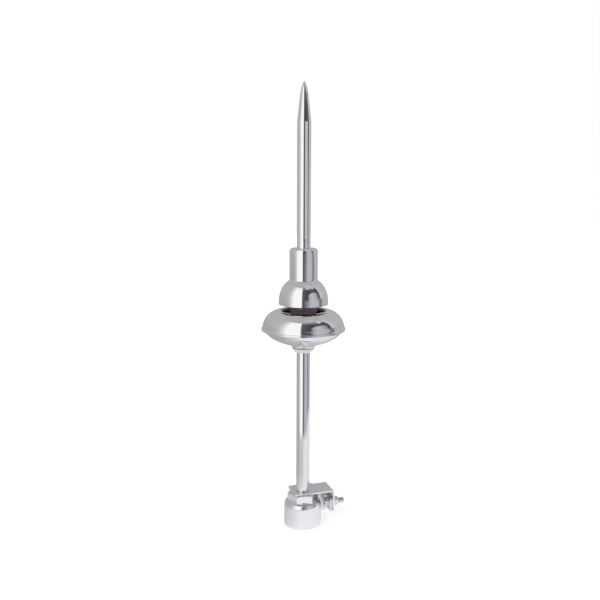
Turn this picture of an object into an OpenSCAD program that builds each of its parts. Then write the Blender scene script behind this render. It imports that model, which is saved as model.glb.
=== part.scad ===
// Lightning rod with an insulated lens head, a mast adapter and a conductor clamp.
// Millimetres. The origin is on the axis at the mouth of the mast socket, +Z is up, the bracket lies along +X.

/* [Rods] */
// Diameter of the captor rod and of the main shaft
rod_d = 20; // [18:0.5:22]
// Length of the captor rod above the sleeve
captor_len = 234.5; // [180:0.5:320]
// Length of the short point
point_len = 18; // [14:1:26]
// Diameter where the point meets the taper
point_d = 11.6; // [9:0.1:13]
// Length of the long taper below the point
taper_len = 37.5; // [30:0.5:60]
// Length of the main shaft between bracket and bush
shaft_len = 216; // [150:0.5:260]
// Thread diameter of the three spigots
thread_d = 16; // [14:1:17]

/* [Bell] */
// Diameter of the sleeve
sleeve_d = 41.4; // [39:0.2:46]
// Rounding of the sleeve's top edge
sleeve_round = 4.5; // [2:0.5:6]
// Diameter of the bell's rim
bell_d = 73; // [70:0.5:80]
// Height of the bell's curve
bell_rise = 40; // [37:0.1:44]
// Height of bell and sleeve together
bell_h = 82.6; // [76:0.2:100]
// Wall of the bell at its rim
bell_wall = 3.5; // [2.5:0.1:4]
// Gap between the lens and the bell's rim
spark_gap = 8.7; // [7:0.1:12]

/* [Lens] */
// Diameter over the brim
lens_d = 124; // [122:0.5:126]
// Diameter of the opening in the dome
opening_d = 63.6; // [60:0.2:64]
// Width of the dome's section
dome_w = 25.8; // [25:0.1:26.4]
// Height of the dome
dome_h = 27.7; // [25:0.1:30]
// Depth of the lower shell
dish_h = 22; // [19:0.5:25]
// Sheet thickness of both shells
shell_t = 1.5; // [1.2:0.1:2]
// Radius of the rolled lip at the opening
lip_r = 3; // [2.6:0.1:4]

/* [Insulators] */
// Diameter of the insulating neck
hub_d = 39.6; // [37:0.2:41]
// How far the neck reaches into the bell
hub_in = 12.6; // [10:0.2:13]
// Height of the white bush's flange
bush_h = 6; // [5:0.5:8]
// Height of the tapered neck ring
ring_h = 4.9; // [4:0.1:7]

/* [Adapter] */
// Outer diameter of the mast socket
adapter_d = 56.5; // [54:0.5:60]
// Height of the round part
adapter_h = 37; // [34:0.5:46]
// Bore of the mast thread
socket_d = 44.84; // [40:0.02:46]
// Depth of the mast socket
socket_depth = 30; // [24:0.5:31]
// Width of the hexagon across its flats
hex_af = 40.5; // [36:0.5:41]
// Height of the hexagon
hex_h = 12.5; // [10:0.5:16]

/* [Bracket] */
// Sheet thickness of the bracket
sheet_t = 2.5; // [2:0.1:3]
// Distance from the axis to the bracket's front edge
bracket_front = 16; // [15:0.5:18]
// Distance from the axis to the outer face of the back web
bracket_back = 21.5; // [19:0.5:23]
// Distance from the axis to the bracket's plain end
bracket_tail = 17; // [15:0.5:20]
// Distance from the axis to the flange's outer face
bracket_reach = 46; // [45:0.5:56]
// Drop of the end flange below the top plate
flange_drop = 33.5; // [33:0.5:40]
// Drop of the back web below the top plate
web_drop = 45.5; // [36:0.5:48]
// Inner radius of the folds
fold_r = 1; // [0.8:0.1:1.6]
// Drop of the clamp bolt below the top plate
bolt_drop = 24; // [22:0.5:25]

/* [Clamp] */
// Thread diameter of the clamp bolt
bolt_d = 8; // [7:0.5:8]
// Length of the clamp bolt under its head
bolt_len = 27; // [24:1:34]
// Hexagon of the bolt and nut across the flats
bolt_af = 13; // [12:0.5:13]
// Height of the bolt's head
head_h = 5.3; // [4.5:0.1:6]
// Height of the clamp nut
nut_h = 6.5; // [5:0.1:6.8]
// Thickness of the clamp plate
plate_t = 4; // [2:0.1:4.5]
// Height of the clamp plate
plate_h = 19; // [16:0.5:20]

/* [Hidden] */
$fn = 96;
eps = 0.05;
// Radial clearance of a thread or a sliding fit in its bore
fit = 0.1;

rod_r = rod_d / 2;
thread_r = thread_d / 2;
bore_r = thread_r + fit;

z_hex = adapter_h;
z_seat = adapter_h + hex_h;
z_plate = z_seat + sheet_t;
z_bush = z_plate + shaft_len;
z_ring = z_bush + bush_h;
z_dish = z_ring + ring_h;
z_floor = z_dish + shell_t;
z_brim = z_dish + dish_h;
z_dome = z_brim + shell_t;
z_crown = z_dome + dome_h;
z_rim = z_crown + spark_gap;
z_hub = z_rim + hub_in;

stack_washer_t = 3;
stack_nut_h = 13;
stack_washer_r = 15;
stack_nut_af = 24;
pocket_r = 16.5;
z_nut = z_hub + stack_washer_t;
z_lock = z_nut + stack_nut_h;
z_top = z_rim + bell_h;
stud_in = 22;
captor_in = 24;

// The dish is a bowl from its brim to its flat seat; its outline bends towards the pull point
seat_r = 20;
dish_r = 57.5;
pull_in = 5.1;
pull_down = 13.4;

// The dome's section circle stands over the rolled lip
crown_r = opening_d / 2 + lip_r;
brim_r = lens_d / 2;
spigot_r = 11;
spigot_up = 5;
hub_foot_r = 16.5;
hub_foot_h = 6;

ring_top_r = 19;
ring_low_r = 15.2;
bush_top_r = 16.6;
bush_low_r = 13.3;

head_r = sleeve_d / 2;
bell_r = bell_d / 2;
cup_r = bell_r - bell_wall;
cup_h = 24;
bell_c = z_rim + 1;
// Below 1 the bell's shoulder is squarer than an ellipse
bell_power = 0.87;
// The point's outline is fuller than a cone by this share, and ends blunt
point_bow = 0.7;
tip_r = 0.4;
tip_h = 0.3;

hex_turn = -10;
hex_r = hex_af / sqrt(3);
adapter_r = adapter_d / 2;
shoulder_w = 4;
shoulder_h = 9;

tail_round = 4;
bracket_w = bracket_front + bracket_back;
flange_x = bracket_reach - sheet_t;
out_r = fold_r + sheet_t;
web_y = bracket_back - sheet_t;
web_x = sqrt(adapter_r * adapter_r - web_y * web_y) + 1;
web_end = bracket_reach - 0.5;
flange_back = bracket_back - out_r - 1;
z_bolt = z_plate - bolt_drop;
plate_x = flange_x - plate_t;
plate_front = bracket_front - 2;
plate_back = flange_back - 0.5;
washer_t = 1.6;
lock_t = 2;
washer_x = bracket_reach;
lock_x = washer_x + washer_t;
nut_x = lock_x + lock_t;
washer_r = 8;
lock_r = 7.2;
bolt_r = bolt_d / 2;
hole_r = bolt_r + 0.5;
bolt_hex_r = bolt_af / sqrt(3);

// Points of an elliptic arc in the section plane
function arc(cx, cz, a, b, from, to, n) =
    [for (i = [0 : n]) let (t = from + (to - from) * i / n) [cx + a * cos(t), cz + b * sin(t)]];

// Points of an arc whose shoulder is squarer than an ellipse
function swell(cz, a, b, power, to, n) =
    [for (i = [0 : n]) let (t = to * i / n) [a * pow(cos(t), power), cz + b * pow(sin(t), power)]];

// Points of a curve from a to c that bends towards b
function bow(a, b, c, n) =
    [for (i = [0 : n]) let (t = i / n) (1 - t) * (1 - t) * a + 2 * t * (1 - t) * b + t * t * c];

// The same line moved sideways by t
function inset(p, t) = let (m = len(p) - 1)
    [for (i = [0 : m]) let (d = p[min(i + 1, m)] - p[max(i - 1, 0)]) p[i] + t / norm(d) * [d[1], -d[0]]];

// A sheet arc of one quarter, cut from a ring of two circles
module sheet_quarter(r, t, side) {
    intersection() {
        difference() {
            circle(r = r);
            circle(r = r - t);
        }
        translate([side > 0 ? 0 : -2 * r, 0])
            square(2 * r);
    }
}

// A hexagon prism with both rims bevelled, along +Z
module hex_prism(r, h, bevel) {
    intersection() {
        cylinder(r = r, h = h, $fn = 6);
        rotate_extrude()
            polygon([[0, 0], [r - 2 * bevel, 0], [r + eps, bevel * 1.2], [r + eps, h - bevel * 1.2],
                     [r - 2 * bevel, h], [0, h]]);
    }
}

module captor_rod() {
    z_tip = z_top + captor_len;
    z_point = z_tip - point_len;
    color("silver")
        rotate_extrude()
            polygon(concat(
                [[0, z_top - captor_in], [thread_r - 1, z_top - captor_in], [thread_r, z_top - captor_in + 1],
                 [thread_r, z_top], [rod_r, z_top], [rod_r, z_point - taper_len]],
                [for (i = [0 : 12]) let (u = i / 12) [tip_r + (point_d / 2 - tip_r) * (1 - u) * (1 + point_bow * u),
                                                      z_point + (point_len - tip_h) * u]],
                [[0, z_tip]]));
}

module deflector_bell() {
    join = acos(pow((head_r + 0.6) / bell_r, 1 / bell_power));
    z_join = bell_c + bell_rise * pow(sin(join), bell_power);
    color("silver")
        difference() {
            rotate_extrude()
                polygon(concat(
                    [[0, z_rim], [bell_r - 0.8, z_rim]],
                    arc(bell_r - 0.8, z_rim + 0.8, 0.8, 0.8, -60, -30, 1),
                    swell(bell_c, bell_r, bell_rise, bell_power, join, 24),
                    [[head_r, z_join + 0.9]],
                    arc(head_r - sleeve_round, z_top - sleeve_round, sleeve_round, sleeve_round, 0, 90, 8),
                    [[0, z_top]]));
            rotate_extrude()
                polygon(concat([[0, z_rim - eps], [cup_r, z_rim - eps]],
                               arc(0, z_rim, cup_r, cup_h, 0, 60, 12),
                               [[0, z_rim + cup_h * sin(60)]]));
            translate([0, 0, z_rim])
                cylinder(r = pocket_r, h = z_lock - z_rim);
            translate([0, 0, z_lock - eps])
                cylinder(r = bore_r, h = stud_in + 2);
            translate([0, 0, z_top - captor_in - 2])
                cylinder(r = bore_r, h = captor_in + 2 + eps);
        }
}

module stack_nut() {
    color("silver")
        difference() {
            translate([0, 0, z_nut])
                hex_prism(stack_nut_af / sqrt(3), stack_nut_h, 0.9);
            translate([0, 0, z_nut - eps])
                cylinder(r = bore_r, h = stack_nut_h + 2 * eps);
        }
}

module stack_washer() {
    color("silver")
        difference() {
            translate([0, 0, z_hub])
                cylinder(r = stack_washer_r, h = stack_washer_t);
            translate([0, 0, z_hub - eps])
                cylinder(r = bore_r + 0.4, h = stack_washer_t + 2 * eps);
        }
}

module insulator_hub() {
    color("dimgray")
        rotate_extrude()
            polygon([[spigot_r + fit, z_floor], [hub_foot_r, z_floor], [hub_foot_r, z_floor + hub_foot_h],
                     [hub_d / 2, z_floor + hub_foot_h + 3], [hub_d / 2, z_hub - 1.5], [hub_d / 2 - 1.5, z_hub],
                     [bore_r, z_hub], [bore_r, z_floor + spigot_up + 0.5],
                     [spigot_r + fit, z_floor + spigot_up + 0.5]]);
}

module upper_shell() {
    z_lip = z_crown - lip_r;
    lip_in = lip_r - shell_t;
    color("gainsboro")
        rotate_extrude()
            polygon(concat(
                [[brim_r, z_dome], [brim_r, z_dome + shell_t]],
                arc(crown_r, z_dome, dome_w, dome_h, asin(shell_t / dome_h), 90, 24),
                arc(crown_r, z_lip, lip_r, lip_r, 100, 180, 8),
                [[crown_r - lip_r, z_lip - 2], [crown_r - lip_in, z_lip - 2]],
                arc(crown_r, z_lip, lip_in, lip_in, 180, 100, 6),
                arc(crown_r, z_dome, dome_w - shell_t, dome_h - shell_t, 90, 0, 24)));
}

module lower_shell() {
    bowl = bow([dish_r, z_brim], [dish_r - pull_in, z_brim - pull_down], [seat_r, z_dish], 20);
    inner = inset(bowl, shell_t);
    color("gainsboro")
        rotate_extrude()
            polygon(concat(
                [[brim_r - 0.1, z_dome], [brim_r - 0.1, z_brim]],
                bowl,
                [[spigot_r + fit, z_dish], [spigot_r + fit, z_floor], [seat_r - 0.4, z_floor]],
                [for (i = [19 : -1 : 1]) inner[i]],
                [[dish_r - 1, z_dome]]));
}

module neck_ring() {
    color("silver")
        rotate_extrude()
            polygon([[spigot_r + fit, z_ring], [ring_low_r - 0.4, z_ring], [ring_low_r, z_ring + 0.4],
                     [ring_top_r, z_dish - 0.6], [ring_top_r - 0.4, z_dish], [spigot_r + fit, z_dish]]);
}

module lower_bush() {
    color("white")
        rotate_extrude()
            polygon([[bore_r, z_bush], [bush_low_r - 0.6, z_bush], [bush_low_r, z_bush + 0.6],
                     [bush_top_r, z_ring - 1], [bush_top_r - 0.6, z_ring], [spigot_r, z_ring],
                     [spigot_r, z_floor + spigot_up], [bore_r, z_floor + spigot_up]]);
}

module main_shaft() {
    low = z_plate - sheet_t - hex_h - adapter_h + socket_depth + 1;
    color("silver")
        rotate_extrude()
            polygon([[0, low], [thread_r - 1, low], [thread_r, low + 1], [thread_r, z_plate], [rod_r - 0.5, z_plate],
                     [rod_r, z_plate + 0.5], [rod_r, z_bush], [thread_r, z_bush], [thread_r, z_lock + stud_in - 1],
                     [thread_r - 1, z_lock + stud_in], [0, z_lock + stud_in]]);
}

module adapter_body() {
    color("silver")
        difference() {
            union() {
                rotate_extrude()
                    polygon(concat([[0, 0], [adapter_r - 0.8, 0], [adapter_r, 0.8]],
                                   arc(adapter_r - shoulder_w, z_hex - shoulder_h,
                                       shoulder_w, shoulder_h, 0, 90, 10),
                                   [[0, z_hex]]));
                translate([0, 0, z_hex])
                    rotate([0, 0, hex_turn])
                        intersection() {
                            translate([0, 0, -1])
                                cylinder(r = hex_r, h = hex_h + 1, $fn = 6);
                            rotate_extrude()
                                polygon([[0, -1], [hex_r + eps, -1], [hex_r + eps, hex_h - 1.6],
                                         [hex_af / 2 - 0.4, hex_h], [0, hex_h]]);
                        }
            }
            translate([0, 0, -eps])
                cylinder(r = socket_d / 2, h = socket_depth + eps);
            translate([0, 0, socket_depth - eps])
                cylinder(r = bore_r, h = z_seat - socket_depth + 2 * eps);
        }
}

module conductor_bracket() {
    color("lightgray")
        difference() {
            union() {
                for (y = [tail_round - bracket_front, bracket_back - tail_round])
                    translate([tail_round - bracket_tail, y, z_seat])
                        cylinder(r = tail_round, h = sheet_t);
                translate([-bracket_tail, tail_round - bracket_front, z_seat])
                    cube([bracket_tail, bracket_w - 2 * tail_round, sheet_t]);
                translate([tail_round - bracket_tail, -bracket_front, z_seat])
                    cube([web_x + bracket_tail - tail_round, bracket_w, sheet_t]);
                translate([0, -bracket_front, z_seat])
                    cube([bracket_reach - out_r, bracket_w - out_r, sheet_t]);
                translate([bracket_reach - out_r, flange_back, z_plate - out_r])
                    rotate([90, 0, 0])
                        linear_extrude(flange_back + bracket_front)
                            sheet_quarter(out_r, sheet_t, 1);
                translate([flange_x, -bracket_front, z_plate - flange_drop])
                    cube([sheet_t, flange_back + bracket_front, flange_drop - out_r]);
                translate([web_x, bracket_back - out_r, z_plate - out_r])
                    rotate([90, 0, 90])
                        linear_extrude(web_end - web_x)
                            sheet_quarter(out_r, sheet_t, 1);
                translate([web_x, web_y, z_plate - web_drop])
                    cube([web_end - web_x, sheet_t, web_drop - out_r]);
            }
            translate([0, 0, z_seat - eps])
                cylinder(r = thread_r + 0.4, h = sheet_t + 2 * eps);
            translate([flange_x - eps, 0, z_bolt])
                rotate([0, 90, 0])
                    cylinder(r = hole_r, h = sheet_t + 2 * eps);
        }
}

module clamp_plate() {
    color("lightgray")
        difference() {
            translate([plate_x, -plate_front, z_bolt - plate_h / 2])
                cube([plate_t, plate_front + plate_back, plate_h]);
            translate([plate_x - eps, 0, z_bolt])
                rotate([0, 90, 0])
                    cylinder(r = hole_r, h = plate_t + 2 * eps);
        }
}

module clamp_bolt() {
    color("gray")
        translate([plate_x, 0, z_bolt])
            rotate([0, 90, 0])
                union() {
                    translate([0, 0, -head_h])
                        intersection() {
                            cylinder(r = bolt_hex_r, h = head_h, $fn = 6);
                            rotate_extrude()
                                polygon([[0, 0], [bolt_af / 2 - 0.3, 0], [bolt_hex_r + eps, 0.8],
                                         [bolt_hex_r + eps, head_h], [0, head_h]]);
                        }
                    rotate_extrude()
                        polygon([[0, -eps], [bolt_r, -eps], [bolt_r, bolt_len - 1], [bolt_r - 1, bolt_len],
                                 [0, bolt_len]]);
                }
}

module clamp_washer() {
    color("gray")
        translate([washer_x, 0, z_bolt])
            rotate([0, 90, 0])
                difference() {
                    cylinder(r = washer_r, h = washer_t);
                    translate([0, 0, -eps])
                        cylinder(r = bolt_r + 0.2, h = washer_t + 2 * eps);
                }
}

module lock_washer() {
    color("gray")
        translate([lock_x, 0, z_bolt])
            rotate([0, 90, 0])
                difference() {
                    cylinder(r = lock_r, h = lock_t);
                    translate([0, 0, -eps])
                        cylinder(r = bolt_r + 0.2, h = lock_t + 2 * eps);
                    rotate([0, 0, 200])
                        translate([0, -0.6, -eps])
                            cube([lock_r + 1, 1.2, lock_t + 2 * eps]);
                }
}

module clamp_nut() {
    color("gray")
        translate([nut_x, 0, z_bolt])
            rotate([0, 90, 0])
                difference() {
                    hex_prism(bolt_hex_r, nut_h, 0.5);
                    translate([0, 0, -eps])
                        cylinder(r = bolt_r + fit, h = nut_h + 2 * eps);
                }
}

captor_rod();
deflector_bell();
stack_nut();
stack_washer();
insulator_hub();
upper_shell();
lower_shell();
neck_ring();
lower_bush();
main_shaft();
adapter_body();
conductor_bracket();
clamp_plate();
clamp_bolt();
clamp_washer();
lock_washer();
clamp_nut();
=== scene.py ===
# %% [markdown]
# # A lightning rod, turned and folded in Blender
# The real object is a row of turned, polished steel pieces on one axis: a pointed rod, a bell, a lens
# of two pressed shells, a shaft and a mast adapter. A folded bracket with one bolt takes the down
# conductor. The lesson builds each piece over the measured CAD frame, gives it a finish, and lights it
# like a small booth.

# %% Load the measured frame
import math
import bpy
from mathutils import Matrix, Vector


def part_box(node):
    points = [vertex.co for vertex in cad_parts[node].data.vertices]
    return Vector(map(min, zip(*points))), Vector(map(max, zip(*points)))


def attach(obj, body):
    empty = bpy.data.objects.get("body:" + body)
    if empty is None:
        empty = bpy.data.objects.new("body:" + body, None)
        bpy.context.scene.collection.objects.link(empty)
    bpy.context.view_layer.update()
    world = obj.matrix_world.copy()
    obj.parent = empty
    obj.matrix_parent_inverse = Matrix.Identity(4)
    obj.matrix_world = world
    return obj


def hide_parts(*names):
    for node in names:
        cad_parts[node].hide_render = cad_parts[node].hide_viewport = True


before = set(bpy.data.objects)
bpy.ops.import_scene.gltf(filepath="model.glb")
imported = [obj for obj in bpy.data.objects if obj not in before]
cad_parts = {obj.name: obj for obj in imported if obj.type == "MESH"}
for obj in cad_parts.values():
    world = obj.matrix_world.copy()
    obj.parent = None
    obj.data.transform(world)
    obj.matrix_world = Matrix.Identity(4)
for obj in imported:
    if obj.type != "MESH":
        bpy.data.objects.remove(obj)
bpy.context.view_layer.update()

# %% [markdown]
# ## Measures
# All lengths here are millimetres, read from the frame's own boxes where pieces meet, so that a new
# shape sits on its neighbours. One factor turns millimetres into Blender's metres when a point is
# placed.

# %% Read the levels from the frame
MM = 0.001
SHEET = 1.5
BRACKET_T = 2.5
HEX_H = 12.5


def low(node):
    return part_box(node)[0] / MM


def high(node):
    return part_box(node)[1] / MM


z_tip = high("captor_rod").z
z_sleeve = high("deflector_bell").z
z_rim = low("deflector_bell").z
z_crown = high("upper_shell").z
z_dome = low("upper_shell").z
z_brim = high("lower_shell").z - SHEET
z_dish = low("lower_shell").z
z_ring = low("neck_ring").z
z_bush = low("lower_bush").z
z_plate = high("conductor_bracket").z
z_seat = z_plate - BRACKET_T
z_hex = z_seat - HEX_H
levels = (z_hex, z_plate, z_bush, z_dish, z_crown, z_rim, z_sleeve, z_tip)
print("levels", [round(level, 1) for level in levels])

# %% [markdown]
# ## Working by hand, in code
# An operator acts on everything that is selected, and loading the frame leaves its nodes selected. So
# each step first clears the selection. The helpers below choose vertices or faces by their place, as
# one would with a mouse.

# %% Selection helpers
DOUBLES = 0.000002


def alone(piece):
    if bpy.context.object and bpy.context.object.mode != "OBJECT":
        bpy.ops.object.mode_set(mode="OBJECT")
    bpy.ops.object.select_all(action="DESELECT")
    piece.select_set(True)
    bpy.context.view_layer.objects.active = piece


def pick(piece, kind, test):
    """Selects the vertices, edges or faces of a piece that pass the test, and stays in edit mode."""
    alone(piece)
    bpy.ops.object.mode_set(mode="EDIT")
    bpy.ops.mesh.select_mode(type=kind)
    bpy.ops.mesh.select_all(action="DESELECT")
    bpy.ops.object.mode_set(mode="OBJECT")
    mesh = piece.data
    chosen = 0
    if kind == "VERT":
        for vertex in mesh.vertices:
            vertex.select = bool(test(vertex.co / MM))
            chosen += vertex.select
    elif kind == "EDGE":
        for edge in mesh.edges:
            ends = [mesh.vertices[i].co / MM for i in edge.vertices]
            edge.select = bool(test(ends[0]) and test(ends[1]))
            chosen += edge.select
    else:
        for face in mesh.polygons:
            face.select = bool(test(face.center / MM, face.normal))
            chosen += face.select
    bpy.ops.object.mode_set(mode="EDIT")
    return chosen


def edit_all(piece):
    alone(piece)
    bpy.ops.object.mode_set(mode="EDIT")
    bpy.ops.mesh.select_all(action="SELECT")


def weld(piece):
    """Joins doubles and turns every face outwards."""
    edit_all(piece)
    bpy.ops.mesh.remove_doubles(threshold=DOUBLES)
    bpy.ops.mesh.normals_make_consistent(inside=False)
    bpy.ops.object.mode_set(mode="OBJECT")


def smooth(piece, degrees=32):
    alone(piece)
    bpy.ops.object.shade_smooth_by_angle(angle=math.radians(degrees))


def apply_all(piece):
    alone(piece)
    for modifier in list(piece.modifiers):
        bpy.ops.object.modifier_apply(modifier=modifier.name)


def report(piece):
    mesh = piece.data
    uses = {}
    for face in mesh.polygons:
        for key in face.edge_keys:
            uses[key] = uses.get(key, 0) + 1
    loose = sum(1 for n in uses.values() if n != 2)
    print(piece.name, len(mesh.vertices), "vertices,", len(mesh.polygons), "faces,", loose, "open edges")


# %% [markdown]
# ## The lathe
# Most pieces are turned, so one section line spun round the axis gives them exactly. The line starts as
# one corner of a plane, and is drawn by extruding that corner from point to point. Spinning and welding
# close the surface. Ready primitives such as a cone and a cylinder would leave joints where the real
# piece has none.

# %% Draw a section line and spin it
def wire(name, points):
    """A line through points in millimetres, extruded point by point from one corner of a plane."""
    bpy.ops.object.select_all(action="DESELECT")
    bpy.ops.mesh.primitive_plane_add(size=0.01, location=(0, 0, 0))
    piece = bpy.context.object
    piece.name = name
    piece.data.name = name
    pick(piece, "VERT", lambda p: not (p.x > 0 and p.y > 0))
    bpy.ops.mesh.delete(type="VERT")
    bpy.ops.mesh.select_all(action="SELECT")
    bpy.ops.object.mode_set(mode="OBJECT")
    last = piece.data.vertices[0].co.copy()
    bpy.ops.object.mode_set(mode="EDIT")
    for count, point in enumerate(points):
        spot = Vector(point) * MM
        if count == 0:
            bpy.ops.transform.translate(value=spot - last)
        else:
            bpy.ops.mesh.extrude_region_move(TRANSFORM_OT_translate={"value": spot - last})
        last = spot
    bpy.ops.object.mode_set(mode="OBJECT")
    return piece


def section(name, points):
    return wire(name, [(x, 0, z) for x, z in points])


def turned(name, points, steps=128):
    """A closed turned piece from the corners of its half section, in millimetres."""
    on_axis = points[0][0] == points[-1][0] == 0
    closed = points if on_axis or points[0] == points[-1] else points + points[:1]
    piece = section(name, closed)
    edit_all(piece)
    bpy.ops.mesh.spin(steps=steps, angle=math.tau, center=(0, 0, 0), axis=(0, 0, 1))
    bpy.ops.object.mode_set(mode="OBJECT")
    weld(piece)
    smooth(piece)
    report(piece)
    return piece


def peg(name, radius, bottom, top, steps=64):
    return turned(name, [(0, bottom), (radius, bottom), (radius, top), (0, top)], steps)


def arc(x, z, wide, tall, start, end, count):
    """Points of an arc in the section plane, with angles in degrees."""
    turns = [math.radians(start + (end - start) * i / count) for i in range(count + 1)]
    return [(x + wide * math.cos(a), z + tall * math.sin(a)) for a in turns]


# %% [markdown]
# ## The pointed rod
# A short arched point, a long taper and a plain stem, cut from one polished bar. The two breaks are
# crisp on the real rod, yet polishing takes their edge off, so each break gets a short arc instead of a
# single corner. The point's outline is a parabola, which leaves the taper smoothly and closes in a
# small blunt tip.

# %% Turn the pointed rod
ROD = 10.0
THREAD = 8.0
POINT_R = 5.8
POINT_LEN = 18.0
TIP_R = 0.4
LEAN = 0.09
TAPER_LEN = 37.5
z_point = z_tip - POINT_LEN
z_taper = z_point - TAPER_LEN
z_spigot = low("captor_rod").z
bow_in = (POINT_R - TIP_R - LEAN * POINT_LEN) / POINT_LEN ** 2

point_line = [(POINT_R - LEAN * up - bow_in * up ** 2, z_point + up)
              for up in (0.5, 1.5, 3, 4.5, 6, 7.5, 9, 10.5, 12, 13.5, 15, 16.2, 17.2)]
pointed_rod = turned("pointed_rod", [
    (0, z_spigot), (THREAD - 1, z_spigot), (THREAD, z_spigot + 1), (THREAD, z_sleeve), (ROD, z_sleeve),
    (ROD, z_taper - 2.4), (ROD, z_taper - 1.2), (ROD - 0.02, z_taper - 0.4), (ROD - 0.07, z_taper + 0.4),
    (ROD - 0.15, z_taper + 1.2), (ROD - 0.28, z_taper + 2.4), (POINT_R + 0.19, z_point - 1.7),
    (POINT_R + 0.05, z_point - 0.5)]
    + point_line
    + [(0.52, z_tip - 0.35), (0.28, z_tip - 0.1), (0, z_tip)], 96)

# %% [markdown]
# ## The bell
# Sleeve and bell are one turned piece. The outside is a quarter of an ellipse with a slightly squarer
# shoulder, which runs into the sleeve with a small hollow round, and the inside is a shallow cup round
# the insulating neck. Drawing both sides in one closed section keeps the wall true, where a thickened
# surface would lose the heavy sleeve.

# %% Turn the bell
SLEEVE = 20.7
BELL = 36.5
CUP = 33.0
POCKET = 16.5
BORE = 8.1
HUB_IN = 12.6
STACK = 16.0
CUP_H = 24.0
RIM_ROUND = 0.9
SLEEVE_ROUND = 4.5
BELL_RISE = 40.0
SQUARE = 0.87
z_lock = z_rim + HUB_IN + STACK
join = math.acos(((SLEEVE + 0.8) / BELL) ** (1 / SQUARE))
z_join = z_rim + 1 + BELL_RISE * math.sin(join) ** SQUARE
shares = [(i / 48) ** 1.15 for i in range(49)]
bell_line = [(BELL * math.cos(join * t) ** SQUARE, z_rim + 1 + BELL_RISE * math.sin(join * t) ** SQUARE)
             for t in shares]

bell = turned("bell", (
    [(CUP, z_rim), (BELL - RIM_ROUND, z_rim)]
    + arc(BELL - RIM_ROUND, z_rim + RIM_ROUND, RIM_ROUND, RIM_ROUND, -70, -10, 4)
    + bell_line
    + [(SLEEVE + 0.45, z_join + 0.25), (SLEEVE + 0.2, z_join + 0.55), (SLEEVE + 0.05, z_join + 0.95),
       (SLEEVE, z_join + 1.4), (SLEEVE, z_join + 2.4), (SLEEVE, z_sleeve - 5.7)]
    + arc(SLEEVE - SLEEVE_ROUND, z_sleeve - SLEEVE_ROUND, SLEEVE_ROUND, SLEEVE_ROUND, 0, 90, 14)
    + [(BORE + 2.1, z_sleeve), (BORE, z_sleeve - 0.6), (BORE, z_lock), (POCKET, z_lock),
       (POCKET, z_rim + CUP_H * math.sin(math.radians(60)))]
    + arc(0, z_rim, CUP, CUP_H, 59.5, 3, 20)), 160)

# %% [markdown]
# ## The insulating neck
# A dark moulded neck carries the bell above the lens. Only its middle shows in the gap, but it stands
# on the lens's floor, so it is made whole, with its foot, its bore and soft moulded edges.

# %% Turn the insulating neck
HUB = 19.8
FOOT = 16.5
HOLE = 11.1
NECK_ROUND = 1.6
TOP_ROUND = 1.5
z_floor = z_dish + SHEET
z_hub = high("insulator_hub").z

neck = turned("insulating_neck", (
    [(HOLE, z_floor), (FOOT - 0.5, z_floor), (FOOT, z_floor + 0.5), (FOOT, z_floor + 5.4)]
    + arc(FOOT + NECK_ROUND, z_floor + 6.2, NECK_ROUND, NECK_ROUND, 180, 118, 5)
    + arc(HUB - NECK_ROUND, z_floor + 8.6, NECK_ROUND, NECK_ROUND, -40, 0, 5)
    + [(HUB, z_floor + 10), (HUB, z_hub - 3)]
    + arc(HUB - TOP_ROUND, z_hub - TOP_ROUND, TOP_ROUND, TOP_ROUND, 0, 90, 6)
    + [(BORE, z_hub), (BORE, z_floor + 5.5), (HOLE, z_floor + 5.5)]), 128)

# %% [markdown]
# ## The lens
# Two shells pressed from thin sheet meet at a narrow brim. The dome is a quarter round that rolls
# inwards at the opening, and the dish is a bowl on a flat seat. Each sheet is drawn as a closed strip
# with both faces. A press cannot fold sheet sharply, so bowl and brim follow a bow: a line that leaves
# one point towards a second and ends in a third.

# %% Turn the two shells
CROWN = 34.8
DOME_W = 25.8
DOME_H = z_crown - z_dome
LIP = 3.0
BRIM = 62.0
z_lip = z_dome + DOME_H - LIP


def bow(start, pull, end, count):
    """Points of a curve from start to end that bends towards a third point."""
    shares = [i / count for i in range(count + 1)]
    return [tuple((1 - t) ** 2 * a + 2 * t * (1 - t) * b + t * t * c for a, b, c in zip(start, pull, end))
            for t in shares]


def inset(points, by):
    """The same line moved sideways by the sheet's thickness."""
    moved = []
    for i, (x, z) in enumerate(points):
        before, after = points[max(i - 1, 0)], points[min(i + 1, len(points) - 1)]
        dx, dz = after[0] - before[0], after[1] - before[1]
        span = math.hypot(dx, dz)
        moved.append((x - by * dz / span, z + by * dx / span))
    return moved


dome_line = arc(CROWN, z_dome, DOME_W, DOME_H, 13, 90, 38)
dome = turned("lens_dome", (
    dome_line
    + arc(CROWN, z_lip, LIP, LIP, 96, 180, 12)
    + [(CROWN - LIP, z_lip - 1.6)]
    + arc(CROWN - LIP + SHEET / 2, z_lip - 1.6, SHEET / 2, SHEET / 2, 195, 345, 6)
    + [(CROWN - LIP + SHEET, z_lip)]
    + arc(CROWN, z_lip, LIP - SHEET, LIP - SHEET, 170, 96, 6)
    + arc(CROWN, z_dome, DOME_W - SHEET, DOME_H - SHEET, 90, 6, 36)
    + [(CROWN + DOME_W - SHEET, z_dome), (BRIM - 0.5, z_dome)]
    + arc(BRIM - 0.35, z_dome + 0.35, 0.35, 0.35, -70, 0, 4)
    + arc(BRIM - 0.35, z_dome + 1.1, 0.35, 0.35, 0, 70, 4)
    + bow((BRIM - 0.4, z_dome + SHEET), (BRIM - 1.04, z_dome + SHEET), dome_line[0], 10)[:-1]), 192)

DISH_R = 57.5
SEAT = 20.0
PULL_IN = 5.1
PULL_DOWN = 13.4
bowl = bow((DISH_R, z_brim), (DISH_R - PULL_IN, z_brim - PULL_DOWN), (SEAT, z_dish), 36)

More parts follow.
